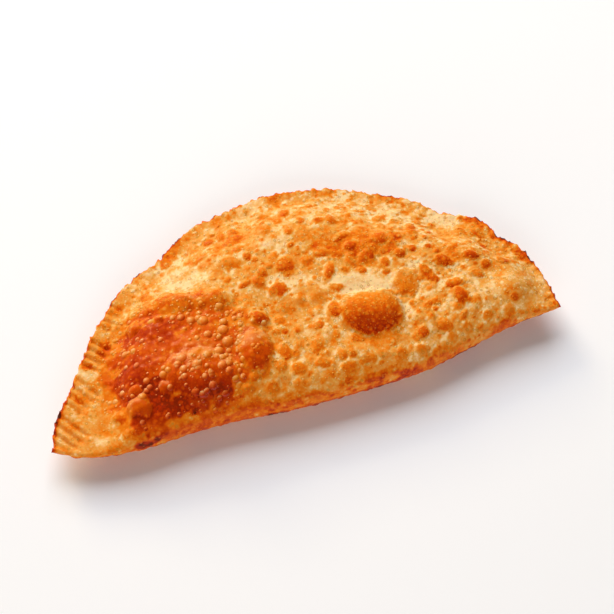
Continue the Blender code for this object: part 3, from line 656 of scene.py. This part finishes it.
def patches(face, toast_and_shade):
    """Browning and painted shade of the listed patches blended in, each through a bell with a ragged edge.
    """
    ragged = 0.26 * ripple(face.x, face.run, 9.0, 42) + 0.16 * ripple(face.x, face.run, 4.0, 43)
    for centre_x, centre_y, length, width, turn, browning in PATCHES:
        r2 = ellipse(face.x, face.y, (centre_x, centre_y, length, width, turn)) + ragged
        toast_and_shade = toast_and_shade + 0.8 * smooth_step((1.45 - r2) / 1.1) * (browning - toast_and_shade)
    return toast_and_shade


def mound_mask(face):
    """1 on the browned, glossy mound at the left and 0 away from it."""
    ragged = 0.15 * ripple(face.x, face.run, 8.0, 44)
    r2 = np.minimum(*[ellipse(face.x, face.y, place) for place in MOUND])
    return smooth_step((1.15 - r2 - ragged) / 0.5)


def dress_top(shape, face):
    """Relief, browning with painted shade, pits and gloss of the top face."""
    u, v = face.x, face.run
    inside = smooth_step(face.fold_gap / 9.0) * smooth_step((face.rim_gap - 0.5 * BAND_ARC) / 8.0)
    near_fold = 1.0 - smooth_step(face.fold_gap / 4.4)
    mound = mound_mask(face)
    named, named_share, named_tone, halo = named_blisters(face, BLISTERS)
    flat_band = smooth_step((-66.0 - face.x) / 8.0) * (1.0 - mound)
    big, big_radius, big_tone = bubble_layer(u, v, 6.4, 11, 0.55)
    small, small_radius, small_tone = bubble_layer(u, v, 3.1, 21, 0.75)
    fine, fine_radius, fine_tone = bubble_layer(u, v, 1.9, 31, 0.8)
    clear = smooth_step((1.7 - nearest_ellipse(face, CLEAR_FIELDS)) / 1.1)
    calm = (1.0 - 0.8 * mound) * (1.0 - 0.85 * flat_band) * (1.0 - 0.75 * clear)
    bare = (1.0 - named_share) * calm
    relief = (swellings(face) + named) * inside
    relief += 0.24 * big * big_radius * bare * (0.25 + 0.75 * inside)
    relief += 0.17 * small * small_radius * calm * (1.0 - 0.7 * named_share) * (0.35 + 0.65 * inside)
    relief += 0.15 * fine * fine_radius * calm * (1.0 - 0.8 * named_share)
    relief += 0.3 * ripple(u, v, 16.0, 51) * inside + 0.05 * ripple(u, v, 6.0, 52) * calm - 0.2
    relief += 0.09 * ripple(u, v, 3.4, 53) * mound
    relief -= crimp_relief(shape, face)
    toast_and_shade = 0.19 + 0.05 * ripple(u, v, 40.0, 61) + 0.05 * ripple(u, v, 18.0, 62)
    toast_and_shade = patches(face, toast_and_shade) + 0.06 * ripple(u, v, 8.0, 63) * (1.0 - 0.7 * mound)
    toast_and_shade -= 0.13 * halo * (1.0 - mound)
    toast_and_shade += 0.92 * named_share * inside * (named_tone - toast_and_shade)
    browned = smooth_step((big_tone - 0.35) / 0.3) * smooth_step(big / 0.8) * bare
    toast_and_shade += 0.7 * browned * (0.36 + 0.24 * big_tone - toast_and_shade)
    browned = smooth_step((small_tone - 0.15) / 0.3) * smooth_step(small / 0.8) * calm
    toast_and_shade += 0.7 * browned * (1.0 - 0.8 * named_share) * (0.34 + 0.26 * small_tone - toast_and_shade)
    toast_and_shade += (0.15 * (fine_tone - 0.40) * smooth_step(fine / 0.6) * (1.0 - 0.7 * named_share)
              * (0.2 + 0.8 * calm))
    toast_and_shade += mound * (np.maximum(toast_and_shade, 0.47) - toast_and_shade)
    toast_and_shade = np.minimum(toast_and_shade + 0.20 * near_fold, 0.92) + edge_toast(face)
    pits = 1.0 - smooth_step((toast_and_shade - 0.45) / 0.25)
    return SimpleNamespace(relief=relief, toast_and_shade=toast_and_shade, pits=pits, gloss=mound)


def dress_underside(shape, face):
    """Relief, browning and pits of the underside, browned in broad blotches."""
    u, v = face.x, face.run
    inside = smooth_step(face.fold_gap / 9.0) * smooth_step((face.rim_gap - 0.5 * BAND_ARC) / 8.0)
    named, named_share, named_tone, _ = named_blisters(face, UNDER_BLISTERS)
    big, big_radius, big_tone = bubble_layer(u, v, 8.0, 12, 0.6)
    small, small_radius, small_tone = bubble_layer(u, v, 3.6, 22, 0.7)
    relief = (named + 0.26 * big * big_radius) * inside + 0.22 * small * small_radius
    relief += 0.12 * ripple(u, v, 6.0, 54) - 0.2
    relief -= 0.35 * crimp_relief(shape, face)
    toast_and_shade = 0.42 + 0.10 * ripple(u, v, 34.0, 65) + 0.07 * ripple(u, v, 12.0, 66)
    toast_and_shade += 0.8 * named_share * (named_tone - toast_and_shade) + 0.3 * (big_tone - 0.3) * smooth_step(big / 0.6)
    toast_and_shade += 0.2 * (small_tone - 0.2) * smooth_step(small / 0.6)
    toast_and_shade += 0.30 * (1.0 - smooth_step(face.fold_gap / 5.0)) + edge_toast(face)
    pits = 1.0 - smooth_step((toast_and_shade - 0.45) / 0.25)
    return SimpleNamespace(relief=relief, toast_and_shade=toast_and_shade, pits=pits, gloss=0.0 * u, skin=0.0 * u)


def crimp_relief(shape, face):
    """Depth of the fork's grooves, run out at the fold and at the rounded edge of the rim."""
    return shape.crimp_depth / MM * face.marks * smooth_step(face.fold_gap / 5.0) * face.edge_round


def edge_toast(face):
    """Browning of the rim: grooves a little darker, the very edge singed in places."""
    along = face.along
    singed = 0.5 + 0.45 * ripple(along, 0 * along, 13.0, 74) + 0.3 * ripple(along, 0 * along, 4.0, 75)
    band = smooth_step((-66.0 - face.x) / 8.0)
    tip = smooth_step((-96.0 - face.x) / 5.0)
    edge = 1.0 - smooth_step(face.rim_gap / (1.8 + 1.8 * tip))
    share = np.clip(0.22 + 0.34 * singed, 0.0, 0.75) * (1.0 - 0.5 * band) * (1.0 - tip) + 0.62 * tip
    return 0.07 * face.marks + edge * share


def surface_normals(points):
    """Unit normals of a grid of points, from the steps along both of its directions."""
    normal = np.cross(np.gradient(points, axis=0), np.gradient(points, axis=1))
    return normal / np.maximum(np.linalg.norm(normal, axis=2), 1e-9)[:, :, None]


def raised(face, dress):
    """Points of a face with its relief raised, resting no lower than the table."""
    normals = face.side * surface_normals(face.points)
    points = face.points + normals * dress.relief[:, :, None]
    points[:, :, 2] = np.maximum(points[:, :, 2], 0.0)
    return points


def loop_faces(stations, around):
    """Quads between neighbouring loops, and a fan of triangles at each tip."""
    ring = np.arange(around)
    after = (ring + 1) % around
    row = np.arange(stations - 1)[:, None] * around
    quads = np.stack([row + ring, row + around + ring, row + around + after, row + after], axis=2)
    last = (stations - 1) * around
    left_pole = stations * around
    left = np.stack([np.full(around, left_pole), ring, after], axis=1)
    right = np.stack([np.full(around, left_pole + 1), last + after, last + ring], axis=1)
    return quads.reshape(-1, 4).tolist() + left.tolist() + right.tolist()


def joined(top, under):
    """Values of both faces round each loop, without the rows that they share."""
    return np.concatenate([top, under[:, -2:0:-1]], axis=1)


def with_tips(loops):
    """Values of all loops in one column, with each tip's value taken from its nearest loop."""
    return np.concatenate([loops.ravel(), [loops[0].mean(), loops[-1].mean()]])


def painted_slope_shade_and_sheen(face, points, dress):
    """Painted shade and painted sheen by slope: the browning is raised where the relief falls
    towards the fold, away from the light, and a rosy tan, partly dry skin and partly painted
    sheen, is laid where the mound's relief rises towards the light.

    The fall is the plan tilt of the raised face's normal towards the fold, less the tilt of the
    smooth face under it.
    """
    tilt = face.side * (surface_normals(points) - surface_normals(face.points))
    fall = -(LIGHT_PLAN_WAY[0] * tilt[:, :, 0] + LIGHT_PLAN_WAY[1] * tilt[:, :, 1])
    share = PAINTED_SHADE_TOAST + (MOUND_PAINTED_SHADE_TOAST - PAINTED_SHADE_TOAST) * dress.gloss
    # Painted shade: relief that falls away from the light, towards the fold, is browned more.
    toast_and_shade = dress.toast_and_shade + np.clip(fall, -0.15, 0.6) * share
    dress.toast_and_shade = toast_and_shade - dress.gloss * np.maximum(toast_and_shade - DEEPEST_MOUND, 0.0)
    below_deep_tone = smooth_step((0.80 - dress.toast_and_shade) / 0.16)
    near = nearest_ellipse(face, SKIN_AND_SHEEN_PLACES)
    share = 0.15 + 1.10 * smooth_step((1.6 - near) / 1.1)
    # Painted sheen: the rosy tan goes where the mound's relief rises towards the light.
    dress.skin = share * dress.gloss * below_deep_tone * smooth_step((0.08 - fall) / 0.4)


def crust_mesh(shape):
    """Closed mesh of the dressed crust: browning with painted shade, pits, gloss and sheen as attributes.

    Its last tenths of a millimetre are cut off at the box of the solid that it stands for.
    """
    top = smooth_face(shape, TOP_ROUND + (shape.top_rows, 6), 1)
    under = smooth_face(shape, (9, shape.under_rows, 5), -1)
    top_dress, under_dress = dress_top(shape, top), dress_underside(shape, under)
    top_points = raised(top, top_dress)
    painted_slope_shade_and_sheen(top, top_points, top_dress)
    loops = joined(top_points, raised(under, under_dress))
    tips = ((-LENGTH / 2, TIP_Y, SEAM_HEIGHT + LEFT_TIP_LIFT),
            (LENGTH / 2, TIP_Y, SEAM_HEIGHT + RIGHT_TIP_LIFT))
    points = (np.vstack([loops.reshape(-1, 3), tips]) - (0.0, MIDDLE_Y, 0.0)) * MM
    points = np.clip(points, CAD_BOX[0], CAD_BOX[1])
    mesh = bpy.data.meshes.new("crust")
    mesh.from_pydata(points.tolist(), [], loop_faces(*loops.shape[:2]))
    for name in ("toast_and_shade", "pits", "gloss", "skin"):
        values = with_tips(joined(getattr(top_dress, name), getattr(under_dress, name)))
        mesh.attributes.new(name, "FLOAT", "POINT").data.foreach_set("value", values.astype(np.float32))
    mesh.shade_smooth()
    return mesh


def drop_sites(shape):
    """Places of the bubbles of the foam on the top: points, outward ways, radii and browning with painted
    shade.

    The listed drops come first, each at the grid's nearest point. Then a share of the grid's
    points is drawn, more of them where the foam is thick, and one of them is kept in each
    square of a lattice.
    """
    face = smooth_face(shape, TOP_ROUND + (shape.top_rows, 6), 1)
    dress = dress_top(shape, face)
    points = raised(face, dress)
    listed = np.array(DROPS)
    away = np.hypot(face.x.ravel() - listed[:, :1], face.y.ravel() - listed[:, 1:2])
    rng = np.random.default_rng(91)
    chance, size = rng.random((2, face.x.size))
    wanted = 0.08 + 0.5 * smooth_step((dress.toast_and_shade - 0.35) / 0.3)
    wanted *= 1.0 - 0.95 * dress.gloss
    for centre_x, centre_y, length, width, turn, share in FOAM:
        r2 = ellipse(face.x, face.y, (centre_x, centre_y, length, width, turn))
        wanted = np.maximum(wanted, share * smooth_step((1.3 - r2) / 0.6))
    inner = (face.fold_gap > 3.0) & (face.rim_gap > 3.0) & (face.x > -88.0)
    drawn = np.flatnonzero((chance < (wanted * inner).ravel() * shape.foam_share))
    spacing = shape.foam_spacing / MM
    column = np.floor(face.x.ravel()[drawn] / spacing).astype(np.int64)
    row = np.floor(face.run.ravel()[drawn] / spacing).astype(np.int64)
    drawn = drawn[np.unique(column * 1000 + row, return_index=True)[1]]
    small = 0.28 + 0.30 * size[drawn] ** 2 + dress.gloss.ravel()[drawn] * (0.14 + 1.35 * size[drawn] ** 4)
    chosen = np.concatenate([np.argmin(away, axis=1), drawn])
    radius = np.concatenate([0.64 * listed[:, 2], 1.1 * small])
    ways = surface_normals(points).reshape(-1, 3)[chosen]
    toast_and_shade, gloss = dress.toast_and_shade.ravel()[chosen], dress.gloss.ravel()[chosen]
    return points.reshape(-1, 3)[chosen], ways, radius, toast_and_shade, gloss


def ball():
    """Points of a unit ball by rings below its crown, its two poles last, and its faces."""
    turn = np.linspace(0.0, 2 * np.pi, BALL_SIDES, endpoint=False)
    down = np.radians(BALL_RINGS)[:, None]
    rings = np.stack(np.broadcast_arrays(
        np.sin(down) * np.cos(turn), np.sin(down) * np.sin(turn), np.cos(down)), axis=2)
    points = np.vstack([rings.reshape(-1, 3), (0, 0, 1), (0, 0, -1)])
    step = np.arange(BALL_SIDES)
    after = (step + 1) % BALL_SIDES
    row = np.arange(len(BALL_RINGS) - 1)[:, None] * BALL_SIDES
    quads = np.stack([row + step, row + BALL_SIDES + step, row + BALL_SIDES + after, row + after], axis=2)
    last = (len(BALL_RINGS) - 1) * BALL_SIDES
    crown = np.full(BALL_SIDES, len(points) - 2)
    caps = np.concatenate([
        np.stack([crown, step, after], axis=1), np.stack([crown + 1, last + after, last + step], axis=1)])
    return points, quads.reshape(-1, 4), caps


def droplets_mesh(shape):
    """Closed little balls, half sunk in the top, one at each site, lined up with the surface.

    Each is painted paler, with a painted rosy highlight, on its side towards the light, and darker
    at its foot as painted shade; it is sunk deeper if it would stand above the box of the solid.
    """
    points, up, radius, toast_and_shade, gloss = drop_sites(shape)
    sideways = np.cross(up, (0.0, 1.0, 0.3))
    sideways /= np.linalg.norm(sideways, axis=1)[:, None]
    axes = np.stack([sideways, np.cross(up, sideways), BALL_FLATNESS * up], axis=1)
    shell, quads, caps = ball()
    middles = points - (BALL_SINK * radius)[:, None] * up
    places = middles[:, None] + radius[:, None, None] * (shell @ axes)
    too_high = places[:, :, 2].max(axis=1) - CAD_BOX[1].z / MM
    places[:, :, 2] -= np.maximum(too_high, 0.0)[:, None]
    shift = np.arange(len(points))[:, None, None] * len(shell)
    faces = (quads + shift).reshape(-1, 4).tolist() + (caps + shift).reshape(-1, 3).tolist()
    mesh = bpy.data.meshes.new("droplets")
    mesh.from_pydata(((places.reshape(-1, 3) - (0.0, MIDDLE_Y, 0.0)) * MM).tolist(), [], faces)
    # Painted light and shade: paler with a rosy highlight towards the light, darker at the foot.
    lit_side = smooth_step(0.2 + 0.8 * (shell @ axes) @ PAINTED_LIGHT_WAY)
    tone = np.clip(toast_and_shade, 0.0, 0.80)[:, None] + 0.08 - 0.32 * lit_side
    shine = (0.35 + 1.6 * gloss)[:, None] + 0.0 * tone
    skin = gloss[:, None] * 2.0 * lit_side ** 3
    for name, values in (("toast_and_shade", tone), ("pits", 0.0 * tone), ("gloss", shine), ("skin", skin)):
        data = mesh.attributes.new(name, "FLOAT", "POINT").data
        data.foreach_set("value", values.ravel().astype(np.float32))
    mesh.shade_smooth()
    return mesh


class NodeMaker:
    """Adds nodes to a material, each in one call with its settings and inputs."""

    def __init__(self, material):
        material.use_nodes = True
        self.tree = material.node_tree
        self.tree.nodes.clear()

    def add(self, kind, settings=None, **inputs):
        node = self.tree.nodes.new(kind)
        for name, value in (settings or {}).items():
            setattr(node, name, value)
        for name, value in inputs.items():
            self.feed(node, name.replace("_", " "), value)
        return node

    def feed(self, node, name, value):
        socket = node.inputs[int(name[1:])] if name[0] == "i" and name[1:].isdigit() else node.inputs[name]
        if isinstance(value, bpy.types.NodeSocket):
            self.tree.links.new(value, socket)
        else:
            socket.default_value = value

    def math(self, operation, a, b=0.0, clamp=False):
        settings = {"operation": operation, "use_clamp": clamp}
        return self.add("ShaderNodeMath", settings, i0=a, i1=b).outputs[0]

    def plus(self, a, b, clamp=False):
        return self.math("ADD", a, b, clamp)

    def minus(self, a, b, clamp=False):
        return self.math("SUBTRACT", a, b, clamp)

    def times(self, a, b, clamp=False):
        return self.math("MULTIPLY", a, b, clamp)

    def noise(self, place, scale, detail):
        """Soft random pattern from 0 to 1."""
        pattern = self.add("ShaderNodeTexNoise", None, Vector=place, Scale=scale, Detail=detail)
        return pattern.outputs["Fac"]

    def attribute(self, name):
        return self.add("ShaderNodeAttribute", {"attribute_name": name}).outputs["Fac"]

    def ramp(self, value, stops):
        node = self.add("ShaderNodeValToRGB", None, Fac=value)
        elements = node.color_ramp.elements
        while len(elements) < len(stops):
            elements.new(0.5)
        for element, (position, colour) in zip(elements, stops):
            element.position = position
            element.color = colour
        return node.outputs["Color"]

    def spots(self, place, scale, radius, width, kept):
        """Rings of a given radius, or filled dots where it is 0, in a share of random cells."""
        cells = self.add("ShaderNodeTexVoronoi", None, Vector=place, Scale=scale)
        away = self.math("ABSOLUTE", self.minus(cells.outputs["Distance"], radius))
        mark = self.times(self.minus(width, away), 2.2 / width, clamp=True)
        draw = self.add("ShaderNodeSeparateColor", None, Color=cells.outputs["Color"]).outputs["Red"]
        chosen = self.math("GREATER_THAN", draw, kept)
        return self.times(mark, chosen)

    def froth(self, place, scale, width):
        """Round caps, as high as a draw of their random cell."""
        cells = self.add("ShaderNodeTexVoronoi", None, Vector=place, Scale=scale)
        away = self.math("POWER", self.math("DIVIDE", cells.outputs["Distance"], width), 2.0)
        draw = self.add("ShaderNodeSeparateColor", None, Color=cells.outputs["Color"]).outputs["Red"]
        return self.times(self.minus(1.0, away, clamp=True), draw)

    def mix(self, share, a, b):
        node = self.add("ShaderNodeMix", {"data_type": "RGBA"})
        self.tree.links.new(share, node.inputs["Factor"])
        for socket, value in ((node.inputs[6], a), (node.inputs[7], b)):
            if isinstance(value, bpy.types.NodeSocket):
                self.tree.links.new(value, socket)
            else:
                socket.default_value = value
        return node.outputs[2]


def rgba(colour):
    """A property's colour with full alpha."""
    return (*colour, 1.0)


# How fine the patterns of the crust are, as the scale of their textures.
GRAIN_SCALE = 950.0
BLOTCH_SCALE = 330.0
RING_SCALE = 430.0
DOT_SCALE = 520.0
SPECK_SCALE = 650.0
COARSE_FROTH_SCALE = 420.0
FINE_FROTH_SCALE = 850.0


def crust_material(colours):
    """Fried dough: browning, painted shade and sheen, grain, tiny rings, pits, fat on the mound."""
    material = bpy.data.materials.new("fried_dough")
    make = NodeMaker(material)
    place = make.add("ShaderNodeTexCoord").outputs["Object"]
    grain = make.noise(place, GRAIN_SCALE, 3.0)
    blotch = make.noise(place, BLOTCH_SCALE, 2.0)
    rings = make.spots(place, RING_SCALE, 0.24, 0.10, 0.55)
    dots = make.spots(place, DOT_SCALE, 0.0, 0.30, 0.68)
    open_dough = make.attribute("pits")
    toast_and_shade = make.attribute("toast_and_shade")
    uneven = make.plus(make.times(grain, 0.34), make.times(blotch, 0.24))
    uneven = make.minus(uneven, 0.29)
    gloss = make.attribute("gloss")
    dull = make.minus(1.0, make.times(gloss, 0.75), clamp=True)
    dull = make.times(dull, make.minus(1.3, toast_and_shade, clamp=True))
    toast_and_shade = make.plus(toast_and_shade, make.times(uneven, dull))
    fine_froth = make.times(make.froth(place, FINE_FROTH_SCALE, 0.5), 0.6)
    froth = make.plus(make.froth(place, COARSE_FROTH_SCALE, 0.5), fine_froth)
    # Painted light and shade: the froth's tops are paler and the gaps between them darker.
    paler = make.times(make.minus(froth, 0.3), make.minus(0.26, make.times(gloss, 0.08)))
    toast_and_shade = make.minus(toast_and_shade, paler)
    stops = (
        (0.0, rgba(colours.pale)), (0.24, rgba(colours.gold)), (0.48, rgba(colours.orange)),
        (0.68, rgba(colours.amber)), (0.88, rgba(colours.brown)), (1.0, rgba(colours.burnt)),
    )
    base = make.ramp(make.times(toast_and_shade, 1.0, clamp=True), stops)
    marks = make.math("MAXIMUM", make.times(rings, 0.55), make.times(dots, 0.4))
    marks = make.times(marks, open_dough)
    base = make.mix(marks, base, rgba(colours.pit))
    specks = make.spots(place, SPECK_SCALE, 0.0, 0.34, 0.5)
    specks = make.times(specks, make.times(make.minus(1.0, open_dough), 0.3))
    specks = make.times(specks, make.minus(1.0, gloss, clamp=True))
    base = make.mix(specks, base, rgba(colours.gold))
    # Rosy tan of dry skin and painted sheen, laid on the froth's tops.
    skin_and_sheen_share = make.times(make.attribute("skin"), make.plus(0.25, make.times(froth, 0.7)))
    base = make.mix(skin_and_sheen_share, base, rgba(colours.skin))
    rough = make.plus(0.50, make.times(make.minus(grain, 0.5), 0.2))
    height = make.minus(make.times(grain, 0.5), make.times(marks, 0.8))
    height = make.plus(height, make.times(froth, make.minus(1.1, make.times(gloss, 0.3))))
    bump = make.add("ShaderNodeBump", None, Strength=0.6, Distance=0.0003, Height=height)
    shader = make.add(
        "ShaderNodeBsdfPrincipled", None, Base_Color=base, Roughness=rough,
        Normal=bump.outputs["Normal"])
    shader.inputs["Specular IOR Level"].default_value = 0.06
    wet = make.times(make.minus(gloss, 1.0, clamp=True), 0.6)
    fat = make.plus(wet, make.plus(0.09, make.times(gloss, 0.03)))
    make.feed(shader, "Coat Weight", fat)
    shader.inputs["Coat Roughness"].default_value = 0.16
    shader.inputs["Subsurface Weight"].default_value = 0.3
    shader.inputs["Subsurface Radius"].default_value = (1.0, 0.42, 0.15)
    shader.inputs["Subsurface Scale"].default_value = 0.0012
    make.add("ShaderNodeOutputMaterial", None, Surface=shader.outputs["BSDF"])
    return material


def floor_material(colour):
    """Matt pale paper."""
    material = bpy.data.materials.new("pale_paper")
    make = NodeMaker(material)
    shader = make.add("ShaderNodeBsdfPrincipled", None, Base_Color=rgba(colour), Roughness=0.9)
    make.add("ShaderNodeOutputMaterial", None, Surface=shader.outputs["BSDF"])
    return material


def way_from(turn, rise):
    """Unit vector towards a point at that turn round the crust and rise above the floor."""
    flat = math.cos(rise)
    return Vector((math.sin(turn) * flat, -math.cos(turn) * flat, math.sin(rise)))


def soft_light(name, turn, rise, distance, size, power, colour, glints):
    """Square area light at a turn and a rise, facing the crust, with or without glints in it."""
    data = bpy.data.lights.new(name, "AREA")
    data.shape = "RECTANGLE"
    data.size, data.size_y = size
    data.energy = power
    data.color = colour
    light = bpy.data.objects.new(name, data)
    back = way_from(math.radians(turn), math.radians(rise))
    light.location = back * distance
    light.rotation_euler = back.to_track_quat("Z", "Y").to_euler()
    light.visible_glossy = glints
    bpy.context.scene.collection.objects.link(light)


class CHEBUREK_OT_crust(bpy.types.Operator):
    """Make the blistered crust as one closed mesh"""

    bl_idname = "cheburek.crust"
    bl_label = "Crust"

    def execute(self, context):
        mesh = crust_mesh(context.scene.crust_shape)
        mesh.materials.append(crust_material(context.scene.crust_colours))
        crust = bpy.data.objects.new("crust", mesh)
        context.scene.collection.objects.link(crust)
        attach(crust, "root")
        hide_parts("cheburek")
        return {"FINISHED"}


class CHEBUREK_OT_droplets(bpy.types.Operator):
    """Make the droplet-like bubbles of the top as one mesh of closed beads"""

    bl_idname = "cheburek.droplets"
    bl_label = "Droplets"

    def execute(self, context):
        mesh = droplets_mesh(context.scene.crust_shape)
        mesh.materials.append(bpy.data.materials["fried_dough"])
        droplets = bpy.data.objects.new("droplets", mesh)
        context.scene.collection.objects.link(droplets)
        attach(droplets, "root")
        return {"FINISHED"}


class CHEBUREK_OT_stage(bpy.types.Operator):
    """Make the pale floor, the soft lights and the camera"""

    bl_idname = "cheburek.stage"
    bl_label = "Stage"

    def execute(self, context):
        look = context.scene.stage_look
        self.lay_floor(context, look)
        soft_light("key", 178.0, 50.0, 2.4, (2.1, 1.7), look.key_power, (0.98, 1.01, 1.09), False)
        soft_light("glint", 193.0, 26.0, 2.4, (0.9, 0.7), look.glint_power, (1.0, 0.82, 0.52), True)
        soft_light("fill", -20.0, 21.0, 2.4, (2.0, 2.0), look.fill_power, (1.0, 0.93, 0.88), False)
        world = bpy.data.worlds.new("studio")
        world.use_nodes = True
        world.node_tree.nodes["Background"].inputs["Color"].default_value = (1.0, 0.96, 0.94, 1.0)
        world.node_tree.nodes["Background"].inputs["Strength"].default_value = look.sky
        world.cycles_visibility.glossy = False
        context.scene.world = world
        context.scene.view_settings.view_transform = "Standard"
        self.set_camera(context, look)
        return {"FINISHED"}

    @staticmethod
    def lay_floor(context, look):
        """Level square, four metres wide, at the height that the crust rests on."""
        corners = np.array([(-2, -2, 0), (2, -2, 0), (2, 2, 0), (-2, 2, 0)], dtype=float)
        corners[:, 2] = CAD_BOX[0].z
        mesh = bpy.data.meshes.new("floor")
        mesh.from_pydata(corners.tolist(), [], [(0, 1, 2, 3)])
        mesh.materials.append(floor_material(look.floor))
        floor = bpy.data.objects.new("floor", mesh)
        context.scene.collection.objects.link(floor)

    @staticmethod
    def set_camera(context, look):
        """Camera on a line from its target, at the given turn and rise."""
        data = bpy.data.cameras.new("camera")
        data.lens = look.lens
        data.sensor_width = 36.0
        camera = bpy.data.objects.new("camera", data)
        back = way_from(look.camera_turn, look.camera_rise)
        camera.location = Vector(look.camera_target) + back * look.camera_distance
        camera.rotation_euler = back.to_track_quat("Z", "Y").to_euler()
        context.scene.collection.objects.link(camera)
        context.scene.camera = camera


class CHEBUREK_PT_panel(bpy.types.Panel):
    """Buttons and sizes of the cheburek"""

    bl_idname = "CHEBUREK_PT_panel"
    bl_label = "Cheburek"
    bl_space_type = "VIEW_3D"
    bl_region_type = "UI"
    bl_category = "Cheburek"

    def draw(self, context):
        for title, group, operator in (
            ("Crust", context.scene.crust_shape, "cheburek.crust"),
            ("Colours", context.scene.crust_colours, "cheburek.droplets"),
            ("Stage", context.scene.stage_look, "cheburek.stage"),
        ):
            box = self.layout.box()
            box.label(text=title)
            for name in group.__annotations__:
                box.prop(group, name)
            if operator:
                box.operator(operator)


CLASSES = (
    CrustShape, CrustColours, StageLook, CHEBUREK_OT_crust, CHEBUREK_OT_droplets,
    CHEBUREK_OT_stage, CHEBUREK_PT_panel,
)


def register():
    for cls in CLASSES:
        bpy.utils.register_class(cls)
    bpy.types.Scene.crust_shape = bpy.props.PointerProperty(type=CrustShape)
    bpy.types.Scene.crust_colours = bpy.props.PointerProperty(type=CrustColours)
    bpy.types.Scene.stage_look = bpy.props.PointerProperty(type=StageLook)


def unregister():
    del bpy.types.Scene.stage_look
    del bpy.types.Scene.crust_colours
    del bpy.types.Scene.crust_shape
    for cls in reversed(CLASSES):
        bpy.utils.unregister_class(cls)


def main():
    register()
    bpy.ops.cheburek.crust()
    bpy.ops.cheburek.droplets()
    bpy.ops.cheburek.stage()


if __name__ == "__main__":
    main()
